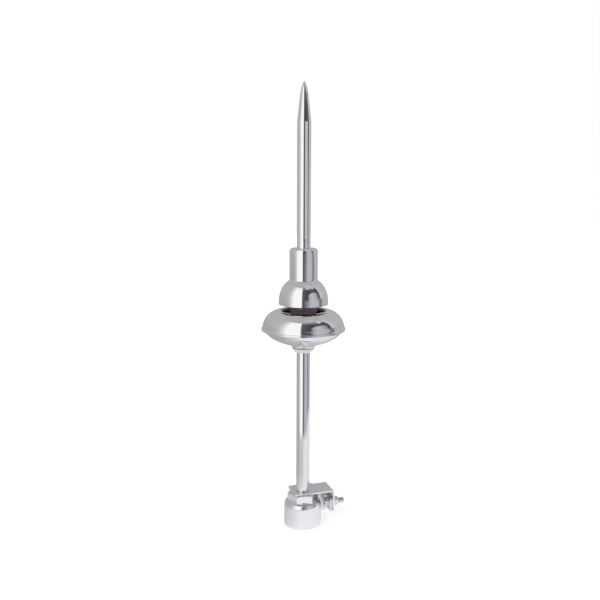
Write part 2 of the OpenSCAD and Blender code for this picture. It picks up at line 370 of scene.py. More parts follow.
dish = turned("lens_dish", (
    [(HOLE, z_dish), (SEAT - 0.8, z_dish)] + bowl[-2:0:-1]
    + [(DISH_R + 0.2, z_brim - 0.05), (DISH_R + 0.8, z_brim)]
    + arc(BRIM - 0.45, z_brim + 0.35, 0.35, 0.35, -85, 0, 4)
    + arc(BRIM - 0.45, z_dome - 0.35, 0.35, 0.35, 0, 70, 4)
    + [(BRIM - 0.8, z_dome), (DISH_R - 1.0, z_dome)]
    + inset(bowl, -SHEET)[2:-1]
    + [(SEAT - 1.2, z_dish + SHEET), (HOLE, z_dish + SHEET)]), 192)

# %% [markdown]
# ## Ring and bush under the lens
# A tapered metal ring seats the lens, and a white bush keeps it off the shaft. They are small turned
# pieces, so a few points are enough, with the outer edges broken as a turner would leave them.

# %% Turn the ring and the bush
ring = turned("neck_ring_turned", (
    [(HOLE, z_ring), (14.3, z_ring)]
    + bow((14.6, z_ring), (15.7, z_ring + 0.1), (16.4, z_ring + 0.9), 6)
    + bow((17.2, z_ring + 1.9), (18.6, z_ring + 3.4), (18.9, z_dish - 0.8), 6)
    + arc(18.4, z_dish - 0.5, 0.5, 0.5, 0, 80, 4)
    + [(HOLE, z_dish)]), 128)

bush = turned("white_bush", (
    [(BORE, z_bush), (12.5, z_bush)]
    + arc(12.6, z_bush + 0.8, 0.8, 0.8, -90, -30, 4)
    + arc(15.6, z_ring - 1.0, 1.0, 1.0, -30, 90, 7)
    + [(HOLE - 0.1, z_ring), (HOLE - 0.1, z_floor + 5), (BORE, z_floor + 5)]), 128)

# %% [markdown]
# ## The shaft
# A plain bar with a threaded spigot at each end. The spigots are hidden, so they stay plain, and the
# shoulder above the bracket has the small break that shows as a bright line.

# %% Turn the shaft
z_shaft_low = low("main_shaft").z
z_shaft_top = high("main_shaft").z

shaft = turned("shaft", [
    (0, z_shaft_low), (THREAD - 1, z_shaft_low), (THREAD, z_shaft_low + 1), (THREAD, z_plate),
    (ROD - 0.7, z_plate), (ROD - 0.2, z_plate + 0.2), (ROD, z_plate + 0.7), (ROD, z_plate + 1.6),
    (ROD, z_bush), (THREAD, z_bush), (THREAD, z_shaft_top - 1), (THREAD - 1, z_shaft_top),
    (0, z_shaft_top)], 96)

# %% [markdown]
# ## Threads
# A thread is one notch of its outline carried up a helix. The Screw modifier sweeps exactly that, turn
# by turn, and two cuts square off the ends and cap them. The same solid is a bolt's thread, and the
# tool that cuts a socket's.

# %% A threaded bar
def threaded_bar(name, core, crest, pitch, start, end, steps):
    first = start - (1.5 + 0.5 / steps) * pitch
    notch = ((core, 0), (core, 0.12), (crest, 0.45), (crest, 0.55), (core, 0.88), (core, 1))
    piece = section(name, [(x, first + share * pitch) for x, share in notch])
    screw = piece.modifiers.new("helix", "SCREW")
    screw.axis = "Z"
    screw.angle = math.tau
    screw.screw_offset = pitch * MM
    screw.iterations = int((end - start) / pitch) + 4
    screw.steps = screw.render_steps = steps
    apply_all(piece)
    weld(piece)
    for height, above in ((start, False), (end, True)):
        edit_all(piece)
        bpy.ops.mesh.bisect(plane_co=(0, 0, height * MM), plane_no=(0, 0, 1), use_fill=True, threshold=1e-7,
                            clear_inner=not above, clear_outer=above)
        bpy.ops.object.mode_set(mode="OBJECT")
    weld(piece)
    report(piece)
    return piece


def carve(piece, tool, how):
    """Joins, cuts or trims a piece with a tool, and puts the tool away."""
    cut = piece.modifiers.new("carve", "BOOLEAN")
    cut.operation = how
    cut.solver = "EXACT"
    cut.object = tool
    apply_all(piece)
    bpy.data.objects.remove(tool, do_unlink=True)
    weld(piece)
    report(piece)


# %% [markdown]
# ## The mast adapter
# A round socket with an egg-shaped shoulder and a hexagon on top, in one piece. The round part is
# turned, with the small hollow that the lathe tool leaves under each flat. The hexagon is a six-sided
# cylinder, trimmed by a turned cone so that its corners get the curved chamfer of a real nut. The
# threaded bar cuts the pipe thread that takes the mast.

# %% Make the adapter
ADAPTER = high("adapter_body").x
SOCKET = 22.42
SHOULDER_W = 4.0
SHOULDER_H = 9.0
HOLLOW = 2.2
SOCKET_DEPTH = 30.0
MOUTH = 2.0
MAST_PITCH = 2.309
HEX_FLATS = 40.5
HEX_TURN = math.radians(20)
CONE = 0.42


def hexagon(name, flats, bottom, top, chamfer_low, chamfer_high, turn):
    corner = flats / math.sqrt(3)
    bpy.ops.object.select_all(action="DESELECT")
    bpy.ops.mesh.primitive_cylinder_add(vertices=6, radius=corner * MM, depth=(top - bottom + 2) * MM,
                                        location=(0, 0, (top + bottom) / 2 * MM), rotation=(0, 0, turn))
    piece = bpy.context.object
    piece.name = name
    bpy.ops.object.transform_apply(location=True, rotation=True, scale=True)
    inner, outer = flats / 2 - 0.3, corner + 0.5
    cone, plain = (inner, (outer - inner) * CONE), (outer, 0.1)
    r_low, step_low = cone if chamfer_low else plain
    r_high, step_high = cone if chamfer_high else plain
    trim = turned(name + "_trim", [(0, bottom), (r_low, bottom), (outer, bottom + step_low),
                                   (outer, top - step_high), (r_high, top), (0, top)], 96)
    carve(piece, trim, "INTERSECT")
    return piece


adapter = turned("mast_adapter", (
    [(0, 0), (ADAPTER - 1.0, 0), (ADAPTER - 0.3, 0.3), (ADAPTER, 1.0), (ADAPTER, 2.2),
     (ADAPTER, z_hex - SHOULDER_H - 1)]
    + arc(ADAPTER - SHOULDER_W, z_hex - SHOULDER_H, SHOULDER_W, SHOULDER_H, 0, 80, 20)
    + bow((23.9, z_hex - 0.05), (21.9, z_hex + 0.1), (20.7, z_hex + HOLLOW), 8)
    + [(0, z_hex + HOLLOW)]), 160)
hex_head = hexagon("hex_head", HEX_FLATS, z_hex - 1, z_seat, False, True, HEX_TURN)
carve(adapter, hex_head, "UNION")
socket = turned("socket_tool", [(0, -1), (SOCKET + MOUTH, -1), (SOCKET + MOUTH, 0), (SOCKET, 1.6),
                                (SOCKET, SOCKET_DEPTH), (0, SOCKET_DEPTH)], 128)
carve(adapter, socket, "DIFFERENCE")
carve(adapter, peg("stud_tool", BORE, SOCKET_DEPTH - 10, z_plate + 7.5, 96), "DIFFERENCE")
mast_thread = threaded_bar("mast_thread", SOCKET - 0.4, SOCKET + 1.3, MAST_PITCH, 1.0, 27.0, 100)
carve(adapter, mast_thread, "DIFFERENCE")
smooth(adapter, 24)
report(adapter)

# %% [markdown]
# ## The bracket
# One sheet, cut and folded twice. It starts as a flat outline, drawn and filled like a paper pattern.
# Spinning an end face through a quarter turn is a fold, because the face keeps the sheet's thickness,
# and extruding the new end face gives the flange. Two holes are cut for stud and bolt, and a fine bevel
# breaks the sheared edges.

# %% Fold the bracket
FRONT = -low("conductor_bracket").y
BACK = high("conductor_bracket").y
TAIL = -low("conductor_bracket").x
REACH = high("conductor_bracket").x
TAIL_R = 4.0
FOLD = 3.5
FLANGE_DROP = 33.5
WEB_DROP = 45.5
BOLT_DROP = 24.0
STUD_HOLE = 8.4
BOLT_HOLE = 4.5
WEB_X = math.sqrt(ADAPTER ** 2 - (BACK - BRACKET_T) ** 2) + 1
z_fold = z_plate - FOLD
z_bolt = z_plate - BOLT_DROP
flange_back = BACK - FOLD - 1


def grow(piece, test, x, y, z):
    pick(piece, "FACE", test)
    bpy.ops.mesh.extrude_region_move(TRANSFORM_OT_translate={"value": Vector((x, y, z)) * MM})
    bpy.ops.object.mode_set(mode="OBJECT")


outline = ([(REACH - FOLD, -FRONT), (REACH - FOLD, flange_back), (REACH - FOLD, BACK - FOLD),
            (WEB_X, BACK - FOLD), (WEB_X, BACK)]
           + arc(TAIL_R - TAIL, BACK - TAIL_R, TAIL_R, TAIL_R, 90, 180, 12)
           + arc(TAIL_R - TAIL, TAIL_R - FRONT, TAIL_R, TAIL_R, 180, 270, 12) + [(REACH - FOLD, -FRONT)])
bracket = wire("folded_bracket", [(x, y, z_seat) for x, y in outline])
weld(bracket)
edit_all(bracket)
bpy.ops.mesh.edge_face_add()
bpy.ops.mesh.extrude_region_move(TRANSFORM_OT_translate={"value": (0, 0, BRACKET_T * MM)})
bpy.ops.object.mode_set(mode="OBJECT")
weld(bracket)
report(bracket)
# the end flange: a quarter turn about a line along Y, then straight down
pick(bracket, "FACE", lambda c, n: n.x > 0.9 and c.x > REACH - FOLD - 0.1 and c.y < flange_back - 1)
bpy.ops.mesh.spin(steps=8, angle=-math.pi / 2, center=((REACH - FOLD) * MM, 0, z_fold * MM), axis=(0, 1, 0))
bpy.ops.object.mode_set(mode="OBJECT")
print("flange fold reaches", round(max(v.co.x for v in bracket.data.vertices) / MM, 2))
grow(bracket, lambda c, n: n.z < -0.99 and abs(c.z - z_fold) < 0.05, 0, 0, z_plate - FLANGE_DROP - z_fold)
# the back web: a quarter turn about a line along X, then straight down, then on past the flange
pick(bracket, "FACE", lambda c, n: n.y > 0.9 and WEB_X < c.x < REACH - FOLD and abs(c.y - BACK + FOLD) < 0.1)
bpy.ops.mesh.spin(steps=8, angle=math.pi / 2, center=(0, (BACK - FOLD) * MM, z_fold * MM), axis=(1, 0, 0))
bpy.ops.object.mode_set(mode="OBJECT")
print("web fold reaches", round(max(v.co.y for v in bracket.data.vertices) / MM, 2))
grow(bracket, lambda c, n: n.z < -0.99 and abs(c.z - z_fold) < 0.05 and c.y > BACK - FOLD, 0, 0,
     z_plate - WEB_DROP - z_fold)
grow(bracket, lambda c, n: n.x > 0.9 and abs(c.x - REACH + FOLD) < 0.1 and c.y > BACK - FOLD - 0.01,
     FOLD - 0.5, 0, 0)
weld(bracket)
report(bracket)

# %% [markdown]
# The holes are cut with turned tools, one upright and one laid along the bolt. The bevel comes last,
# because it has to break the edges of the holes too.

# %% Drill the bracket and break its edges
carve(bracket, peg("stud_hole_tool", STUD_HOLE, z_seat - 2, z_plate + 2), "DIFFERENCE")


def along_x(piece, x):
    """Lays a piece that was made on the Z axis along the bolt's axis."""
    alone(piece)
    piece.rotation_euler = (0, math.pi / 2, 0)
    piece.location = (x * MM, 0, z_bolt * MM)
    bpy.ops.object.transform_apply(location=True, rotation=True, scale=True)
    return piece


bolt_hole = along_x(peg("bolt_hole_tool", BOLT_HOLE, -3, 3), REACH - BRACKET_T / 2)
carve(bracket, bolt_hole, "DIFFERENCE")


def break_edges(piece, width, segments=2, degrees=40):
    edit_all(piece)
    bpy.ops.mesh.dissolve_limited(angle_limit=math.radians(0.5))
    bpy.ops.object.mode_set(mode="OBJECT")
    edge = piece.modifiers.new("edges", "BEVEL")
    edge.width = width * MM
    edge.segments = segments
    edge.limit_method = "ANGLE"
    edge.angle_limit = math.radians(degrees)
    edge.use_clamp_overlap = True
    apply_all(piece)
    smooth(piece, 30)
    report(piece)


break_edges(bracket, 0.3)

# %% [markdown]
# ## The clamp
# A plate inside the flange, a bolt through both, and washer, split washer and nut outside. Plate and
# hexagons are primitives trimmed to the real shape, the bolt's thread comes from the helper above, and
# the split washer is a square section spun almost all the way round.

# %% Make the clamp plate
plate_lo = low("clamp_plate")
plate_hi = high("clamp_plate")
bpy.ops.object.select_all(action="DESELECT")
bpy.ops.mesh.primitive_cube_add(size=1, location=(plate_lo + plate_hi) / 2 * MM)
clamp_plate = bpy.context.object
clamp_plate.name = "pressure_plate"
clamp_plate.scale = (plate_hi - plate_lo) * MM
bpy.ops.object.transform_apply(location=True, rotation=True, scale=True)
plate_hole = along_x(peg("plate_hole_tool", BOLT_HOLE, -4, 4), (plate_lo.x + plate_hi.x) / 2)
carve(clamp_plate, plate_hole, "DIFFERENCE")
break_edges(clamp_plate, 0.4)

# %% [markdown]
# Bolt and nut are made standing on the Z axis, where turning and threading are easy, and are then laid
# along the bolt's own axis. The thread's end is trimmed by a cone, so that it starts in a nut as a real
# one does.

# %% Make bolt and nut
FLATS = 13.0
HEAD = 5.3
BOLT_LEN = 27.0
SHANK = 3.9
CORE = 3.4
CREST = 4.0
BOLT_PITCH = 1.25
bolt = hexagon("hex_bolt", FLATS, -HEAD, 0, True, False, math.radians(30))
carve(bolt, peg("shank", SHANK, -0.5, 6.0), "UNION")
thread = threaded_bar("bolt_thread", CORE, CREST, BOLT_PITCH, 5.5, BOLT_LEN, 100)
end_trim = turned("end_trim", [(0, 5), (5, 5), (5, BOLT_LEN - 1.4), (2.9, BOLT_LEN), (0, BOLT_LEN)], 64)
carve(thread, end_trim, "INTERSECT")
carve(bolt, thread, "UNION")
along_x(bolt, plate_lo.x)
smooth(bolt, 28)
report(bolt)

NUT_X = low("clamp_nut").x
NUT_H = high("clamp_nut").x - NUT_X
nut = hexagon("hex_nut", FLATS, 0, NUT_H, True, True, math.radians(30))
nut_hole = turned("nut_hole_tool", [(0, -1), (5.0, -1), (5.0, 0), (4.1, 0.9), (4.1, NUT_H - 0.9),
                                    (5.0, NUT_H), (5.0, NUT_H + 1), (0, NUT_H + 1)], 64)
carve(nut, nut_hole, "DIFFERENCE")
along_x(nut, NUT_X)
smooth(nut, 28)
report(nut)

# %% [markdown]
# The flat washer is turned. The split washer is one filled section spun through most of a turn, and the
# filled ends stay as the two faces of the split. A whole ring with a wedge cut out would need a boolean
# for the same.

# %% Make the two washers
WASHER_HOLE = 4.2
SPLIT_ARC = math.radians(350)
SPLIT_TURN = math.radians(205)
washer = turned("flat_washer", [(WASHER_HOLE, 0), (7.7, 0), (8.0, 0.3), (8.0, 1.3), (7.7, 1.6),
                                (WASHER_HOLE, 1.6)], 72)
along_x(washer, low("clamp_washer").x)

split_washer = section("split_washer", [(WASHER_HOLE, 0), (7.0, 0), (7.2, 0.2), (7.2, 1.8), (7.0, 2.0),
                                        (WASHER_HOLE, 2.0), (WASHER_HOLE, 0)])
weld(split_washer)
edit_all(split_washer)
bpy.ops.mesh.edge_face_add()
bpy.ops.mesh.spin(steps=60, angle=SPLIT_ARC, center=(0, 0, 0), axis=(0, 0, 1))
bpy.ops.object.mode_set(mode="OBJECT")
weld(split_washer)
split_washer.rotation_euler = (0, 0, SPLIT_TURN)
alone(split_washer)
bpy.ops.object.transform_apply(location=True, rotation=True, scale=True)
along_x(split_washer, low("lock_washer").x)
smooth(split_washer)
report(split_washer)

# %% [markdown]
# ## Finishes
# Two effects recur on the metals. Turning or rolling leaves fine lines, which are noise stretched along
# one direction. Handling leaves a faint haze, which is slow noise in the roughness. Each is a node
# group with its own inputs, so that every steel gets its own values while the shader stays in the
# material.

# %% Effects shared by the finishes
def put(node, values):
    for label, value in values.items():
        node.inputs[label].default_value = value


def new_group(name, inputs, outputs):
    group = bpy.data.node_groups.new(name, "ShaderNodeTree")
    for label, kind, value in inputs:
        socket_in = group.interface.new_socket(name=label, in_out="INPUT", socket_type=kind)
        socket_in.default_value = value
    for label, kind in outputs:
        group.interface.new_socket(name=label, in_out="OUTPUT", socket_type=kind)
    return group, group.nodes.new("NodeGroupInput"), group.nodes.new("NodeGroupOutput")


def tool_lines():
    """Fine lines of a lathe, a belt or a rolling mill: noise stretched along one direction."""
    group, given, out = new_group("tool_lines", [("Stretch", "NodeSocketVector", (20, 20, 2000))],
                                  [("Height", "NodeSocketFloat"), ("Mask", "NodeSocketFloat")])
    place = group.nodes.new("ShaderNodeTexCoord")
    pull = group.nodes.new("ShaderNodeVectorMath")
    pull.operation = "MULTIPLY"
    fine = group.nodes.new("ShaderNodeTexNoise")
    put(fine, {"Scale": 1.0, "Detail": 3.0, "Roughness": 0.6})
    mask = group.nodes.new("ShaderNodeMapRange")
    put(mask, {"From Min": 0.35, "From Max": 0.65})
    link = group.links.new
    link(place.outputs["Object"], pull.inputs[0])
    link(given.outputs["Stretch"], pull.inputs[1])
    link(pull.outputs["Vector"], fine.inputs["Vector"])
    link(fine.outputs["Fac"], out.inputs["Height"])
    link(fine.outputs["Fac"], mask.inputs["Value"])
    link(mask.outputs["Result"], out.inputs["Mask"])
    return group


def handling_haze():
    """Slow clouds and small specks in a polish, as a roughness between two values."""
    group, given, out = new_group(
        "handling_haze",
        [("Size", "NodeSocketFloat", 40.0), ("Clear", "NodeSocketFloat", 0.05),
         ("Dull", "NodeSocketFloat", 0.12)],
        [("Roughness", "NodeSocketFloat"), ("Mask", "NodeSocketFloat")])
    place = group.nodes.new("ShaderNodeTexCoord")
    cloud = group.nodes.new("ShaderNodeTexNoise")
    put(cloud, {"Detail": 5.0, "Roughness": 0.65})
    level = group.nodes.new("ShaderNodeMapRange")
    mask = group.nodes.new("ShaderNodeMapRange")
    for node in (level, mask):
        put(node, {"From Min": 0.38, "From Max": 0.72})
    link = group.links.new
    link(place.outputs["Object"], cloud.inputs["Vector"])
    link(given.outputs["Size"], cloud.inputs["Scale"])
    link(cloud.outputs["Fac"], level.inputs["Value"])
    link(given.outputs["Clear"], level.inputs["To Min"])
    link(given.outputs["Dull"], level.inputs["To Max"])
    link(level.outputs["Result"], out.inputs["Roughness"])
    link(cloud.outputs["Fac"], mask.inputs["Value"])
    link(mask.outputs["Result"], out.inputs["Mask"])
    return group


LINES = tool_lines()
HAZE = handling_haze()
print("groups", LINES.name, HAZE.name)


# %% [markdown]
# All finishes follow one recipe: two close colours blended where haze and lines lie, a gloss that
# varies with the haze, and the lines as a fine bump. Only the numbers differ, so one function makes
# them all and each stays easy to compare.

# %% One recipe for the finishes
HAZE_SHARE = 0.6
LINE_SHARE = 0.4


def finish(name, clean, worn, metallic, stretch, depth, size, clear, dull):
    """A finish of two close colours, a haze in the gloss and fine tool lines in the normal."""
    material = bpy.data.materials.new(name)
    material.use_nodes = True
    tree = material.node_tree
    shader = tree.nodes["Principled BSDF"]
    put(shader, {"Metallic": metallic, "Specular IOR Level": 0.5, "IOR": 1.5})
    haze = tree.nodes.new("ShaderNodeGroup")
    haze.node_tree = HAZE
    put(haze, {"Size": size, "Clear": clear, "Dull": dull})
    lines = tree.nodes.new("ShaderNodeGroup")
    lines.node_tree = LINES
    put(lines, {"Stretch": stretch})
    tint = tree.nodes.new("ShaderNodeMix")
    tint.data_type = "RGBA"
    put(tint, {"A": (*clean, 1), "B": (*worn, 1)})
    both = tree.nodes.new("ShaderNodeMath")
    both.operation = "MULTIPLY_ADD"
    both.inputs[1].default_value = HAZE_SHARE
    both.use_clamp = True
    part_lines = tree.nodes.new("ShaderNodeMath")
    part_lines.operation = "MULTIPLY"
    part_lines.inputs[1].default_value = LINE_SHARE
    bump = tree.nodes.new("ShaderNodeBump")
    put(bump, {"Strength": 1.0, "Distance": depth * MM})
    link = tree.links.new
    link(haze.outputs["Roughness"], shader.inputs["Roughness"])
    link(lines.outputs["Mask"], part_lines.inputs[0])
    link(haze.outputs["Mask"], both.inputs[0])
    link(part_lines.outputs[0], both.inputs[2])
    link(both.outputs[0], tint.inputs["Factor"])
    link(tint.outputs["Result"], shader.inputs["Base Color"])
    link(lines.outputs["Height"], bump.inputs["Height"])
    link(bump.outputs["Normal"], shader.inputs["Normal"])
    return material


# %% [markdown]
# The polished steel is a near mirror with a breath of haze. The adapter is the same steel with visible
# turning rings. The sheet has rolling lines along its length and more haze, and the fasteners are zinc
# plated, greyer and softer. The neck is a dark brown moulding with some gloss, and the bush is a plain
# white plastic.

# %% Mix the finishes
MIRROR = ((0.83, 0.83, 0.845), (0.77, 0.77, 0.79), 1.0, (14, 14, 900), 0.0006, 55, 0.035, 0.075)
polished = finish("polished_steel", *MIRROR)
satin = finish("turned_steel", (0.88, 0.88, 0.89), (0.82, 0.82, 0.84), 1.0,
               (10, 10, 2600), 0.0006, 70, 0.16, 0.25)
sheet_steel = finish("rolled_sheet", (0.89, 0.895, 0.91), (0.82, 0.825, 0.85), 1.0,
                     (40, 900, 900), 0.0004, 90, 0.30, 0.40)
zinc = finish("zinc_plate", (0.80, 0.81, 0.81), (0.66, 0.68, 0.68), 1.0,
              (900, 260, 260), 0.003, 220, 0.2, 0.38)
dark_neck = finish("dark_moulding", (0.200, 0.168, 0.172), (0.260, 0.222, 0.228), 0.0,
                   (30, 30, 300), 0.004, 120, 0.22, 0.36)
white_plastic = finish("white_plastic", (0.90, 0.90, 0.89), (0.84, 0.84, 0.83), 0.0,
                       (20, 20, 1800), 0.004, 90, 0.32, 0.5)
print("finishes", [m.name for m in (polished, satin, sheet_steel, zinc, dark_neck, white_plastic)])


# %% [markdown]
# The inside of the lens is left dull, with only the outside polished. Its colour there is darkened
# and browned as painted shade for the hollow, where little light gets in. Which side a face lies on
# is written down as an attribute of the mesh, and the lens's own steel reads it to change colour and gloss.

# %% Dull the inside of the lens and paint shade into it
LIP_EDGE = 1.8


def mark_inside(piece, test):
    layer = piece.data.attributes.new("inside", "FLOAT", "FACE")
    for face in piece.data.polygons:
        layer.data[face.index].value = float(test(face.center / MM, face.normal))
    print(piece.name, "inside faces", sum(1 for value in layer.data if value.value > 0))


def dome_inside(centre, normal):
    r = math.hypot(centre.x, centre.y)
    outwards = (normal.x * centre.x + normal.y * centre.y) / r
    faces_in = (r - CROWN) * outwards + (centre.z - z_dome) * normal.z < 0
    return r < CROWN - LIP_EDGE or faces_in


mark_inside(dome, dome_inside)
mark_inside(dish, lambda c, n: n.z > 0.05 and math.hypot(c.x, c.y) < DISH_R - 1.5)


def dull_and_shade_inside(material, colour, roughness):
    tree = material.node_tree
    shader = tree.nodes["Principled BSDF"]
    inside = tree.nodes.new("ShaderNodeAttribute")
    inside.attribute_name = "inside"
    for name, kind, value in (("Base Color", "RGBA", (*colour, 1)), ("Roughness", "FLOAT", roughness)):
        blend = tree.nodes.new("ShaderNodeMix")
        blend.data_type = kind
        first, second = [socket for socket in blend.inputs if socket.name in "AB" and socket.enabled]
        result = [socket for socket in blend.outputs if socket.enabled][0]
        outside = shader.inputs[name].links[0].from_socket
        second.default_value = value
        tree.links.new(inside.outputs["Fac"], blend.inputs["Factor"])
        tree.links.new(outside, first)
        tree.links.new(result, shader.inputs[name])


lens_steel = finish("lens_steel", *MIRROR)
# the rougher gloss is the unpolished inside; the darker brownish colour is painted shade for the hollow of
# the lens
dull_and_shade_inside(lens_steel, (0.44, 0.385, 0.40), 0.5)


# %% [markdown]
# Each finished piece now takes its finish, rides on the one body of the part, and stands for its
# measured node.

# %% Hand in the pieces
def dress(piece, material):
    piece.data.materials.clear()
    piece.data.materials.append(material)
    for face in piece.data.polygons:
        face.material_index = 0


def hand_in(piece, material, node):
    dress(piece, material)
    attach(piece, "root")
    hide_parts(node)
    print(piece.name, "stands for", node)


hand_in(pointed_rod, polished, "captor_rod")
hand_in(bell, polished, "deflector_bell")
hand_in(neck, dark_neck, "insulator_hub")
hand_in(dome, lens_steel, "upper_shell")
hand_in(dish, lens_steel, "lower_shell")
hand_in(ring, polished, "neck_ring")
hand_in(bush, white_plastic, "lower_bush")
hand_in(shaft, polished, "main_shaft")
hand_in(adapter, satin, "adapter_body")
hand_in(bracket, sheet_steel, "conductor_bracket")
hand_in(clamp_plate, zinc, "clamp_plate")
hand_in(bolt, zinc, "clamp_bolt")
hand_in(nut, zinc, "clamp_nut")
hand_in(washer, zinc, "clamp_washer")
hand_in(split_washer, zinc, "lock_washer")

# %% [markdown]
# The nut and the washer inside the bell are hidden and already have the right shape, so the CAD nodes
# stay and only take the plated finish.

# %% Dress the nodes that stay
for name in ("stack_nut", "stack_washer"):
    dress(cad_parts[name], zinc)
    print(name, "keeps its shape and takes", zinc.name)

# %% [markdown]
# ## The booth
# A mirror shows its room, so the room is part of the picture: a bright soft box at the left, a dark gap
# where the photographer stands, a pale window with a dark frame at the right, and plain grey round the
# sides and overhead. One closed drum round the object carries all of it as a glow that only reflections
# see. It lights nothing and hides nothing, so every other view stays free. First come its greys, as
# pairs of an angle from the camera and a level, for bands from the low wall up to a small lamp above
# the window, and for the table.

# %% Choose the room's greys
def grey(level, blue=0.0):
    return (level, level, level * (1 + blue), 1)


def greys(stops, blue=0.0):
    return [(degrees, grey(level, blue)) for degrees, level in stops]


LEFT = (greys([(-180, 0.42), (-140, 0.47)]) + greys([(-84, 0.48), (-68, 0.57)], 0.03)
        + greys([(-56, 0.82), (-45, 1.15), (-9, 1.15)]))
RIGHT = greys([(130, 0.52), (160, 0.47), (180, 0.42)])
LEFT_HIGH = greys([(-180, 0.46), (-140, 0.52), (-84, 0.54), (-68, 0.64), (-56, 0.88), (-45, 1.15),
                   (-9, 1.15)])
RIGHT_HIGH = greys([(92, 0.66), (103, 0.55), (130, 0.54), (160, 0.50), (180, 0.46)])
LOW = LEFT + greys([(-5, 0.09), (3, 0.11), (10, 0.24), (18, 0.29), (26, 0.46), (37, 0.60), (48, 0.56),
                    (68, 0.55), (76, 0.24), (85, 0.19), (92, 0.50)], 0.1) + RIGHT
WINDOW = LEFT_HIGH + greys([(-5, 0.08), (4, 0.07), (15, 0.045), (20, 0.09), (27, 0.42), (37, 0.60),
                            (48, 0.57), (60, 0.48), (69, 0.27), (74, 0.07), (79, 0.07),
                            (84, 0.64)], 0.1) + RIGHT_HIGH
ABOVE = LEFT_HIGH + greys([(-5, 0.11), (4, 0.11), (17, 0.08), (29, 0.07), (41, 0.10), (55, 0.12),
                           (71, 0.08), (80, 0.08), (86, 0.62)], 0.05) + RIGHT_HIGH
HIGH = LEFT_HIGH + greys([(-5, 0.18), (20, 0.19), (50, 0.22), (58, 0.26), (63, 1.0), (72, 1.0),
                          (78, 0.26), (86, 0.60)], 0.05) + RIGHT_HIGH
CEILING = grey(0.50)
TABLE = greys([(-180, 0.50), (-95, 0.47), (-70, 0.55), (-50, 0.64), (0, 0.68), (16, 0.92), (100, 0.91),
               (135, 0.80), (180, 0.55)], 0.03)
NEAR_TABLE = greys([(-180, 0.60), (-95, 0.64), (-45, 0.82), (-15, 0.96), (50, 0.96), (100, 0.86),
                    (180, 0.60)], 0.02)
print("bands with", [len(band) for band in (LOW, WINDOW, ABOVE, HIGH, TABLE, NEAR_TABLE)], "stops")

# %% [markdown]
# The paint reads the angle and the height of each spot on the drum. A colour ramp gives each band's
# grey by angle, and soft steps in height lead from one band to the next. The window's top is lowered
# towards both sides, so that it looks arched. A picture of a room would be quicker, but it could not be
# tuned band by band.

# %% Paint the room
AZIMUTH = math.radians(252)
SILL = (0.35, 0.44)
ARCH_TOP = (0.575, 0.60)
ARCH_MID = 48
ARCH_HALF = 32
ARCH_FALL = 0.10
LAMP_FROM = (0.72, 0.82)
CEILING_FROM = (0.88, 1.10)
NEAR = (0.10, 0.24)
TABLE_EDGE = (0.001, 0.03)
EDGE_CLIMB = 0.05
CLIMB_FROM, CLIMB_TO = 60, 95


def booth_paint():
    material = bpy.data.materials.new("booth_glow")
    material.use_nodes = True
    tree = material.node_tree
    tree.nodes.remove(tree.nodes["Principled BSDF"])
    link = tree.links.new

    def math_node(operation, first, second=None, third=None):
        node = tree.nodes.new("ShaderNodeMath")
        node.operation = operation
        for spot, value in enumerate((first, second, third)):
            if isinstance(value, (int, float)):
                node.inputs[spot].default_value = value
            elif value is not None:
                link(value, node.inputs[spot])
        return node.outputs[0]

    def by_angle(stops):
        ramp = tree.nodes.new("ShaderNodeValToRGB")
        bar = ramp.color_ramp
        bar.elements.remove(bar.elements[1])
        bar.elements[0].position = stops[0][0] / 360 + 0.5
        bar.elements[0].color = stops[0][1]
        for degrees, colour in stops[1:]:
            bar.elements.new(degrees / 360 + 0.5).color = colour
        link(around, ramp.inputs[0])
        return ramp.outputs["Color"]

    def rise(value, first, last):
        node = tree.nodes.new("ShaderNodeMapRange")
        node.interpolation_type = "SMOOTHSTEP"
        put(node, {"From Min": first, "From Max": last})
        link(value, node.inputs["Value"])
        return node.outputs["Result"]

    def mix(factor, one, two):
        node = tree.nodes.new("ShaderNodeMix")
        node.data_type = "RGBA"
        link(factor, node.inputs["Factor"])
        for name, value in (("A", one), ("B", two)):
            if isinstance(value, tuple):
                node.inputs[name].default_value = value
            else:
                link(value, node.inputs[name])
        return node.outputs["Result"]

    place = tree.nodes.new("ShaderNodeTexCoord")
    turn = tree.nodes.new("ShaderNodeMapping")
    turn.inputs["Rotation"].default_value = (0, 0, -AZIMUTH)
    parts = tree.nodes.new("ShaderNodeSeparateXYZ")
    link(place.outputs["Object"], turn.inputs["Vector"])
    link(turn.outputs["Vector"], parts.inputs[0])
    x, y, z = parts.outputs
    around = math_node("MULTIPLY_ADD", math_node("ARCTAN2", y, x), 1 / math.tau, 0.5)
    # the window's top is an arch: its level falls towards both sides
    aside = math_node("MULTIPLY_ADD", around, 360 / ARCH_HALF, -(180 + ARCH_MID) / ARCH_HALF)
    fall = math_node("MINIMUM", math_node("MULTIPLY", aside, aside), 2.0)
    arch = math_node("MULTIPLY_ADD", fall, ARCH_FALL, z)
    walls = mix(rise(z, *SILL), by_angle(LOW), by_angle(WINDOW))
    walls = mix(rise(arch, *ARCH_TOP), walls, by_angle(ABOVE))
    walls = mix(rise(z, *LAMP_FROM), walls, by_angle(HIGH))
    walls = mix(rise(z, *CEILING_FROM), walls, CEILING)
    # the table is palest near the foot, and its far edge climbs towards the right
    away = math_node("SQRT", math_node("MULTIPLY_ADD", x, x, math_node("MULTIPLY", y, y)))
    table = mix(rise(away, *NEAR), by_angle(NEAR_TABLE), by_angle(TABLE))
    climb = rise(around, (180 + CLIMB_FROM) / 360, (180 + CLIMB_TO) / 360)
    edge = math_node("MULTIPLY_ADD", climb, -EDGE_CLIMB, z)
    walls = mix(rise(edge, *TABLE_EDGE), table, walls)
    glow = tree.nodes.new("ShaderNodeEmission")
    link(walls, glow.inputs["Color"])
    link(glow.outputs[0], tree.nodes["Material Output"].inputs["Surface"])
    return material


# %% [markdown]
# The drum is one cylinder with a floor and a lid. It stands a hair above the ground, so that a
# reflection meets its table before the white floor. Only glossy rays see it.

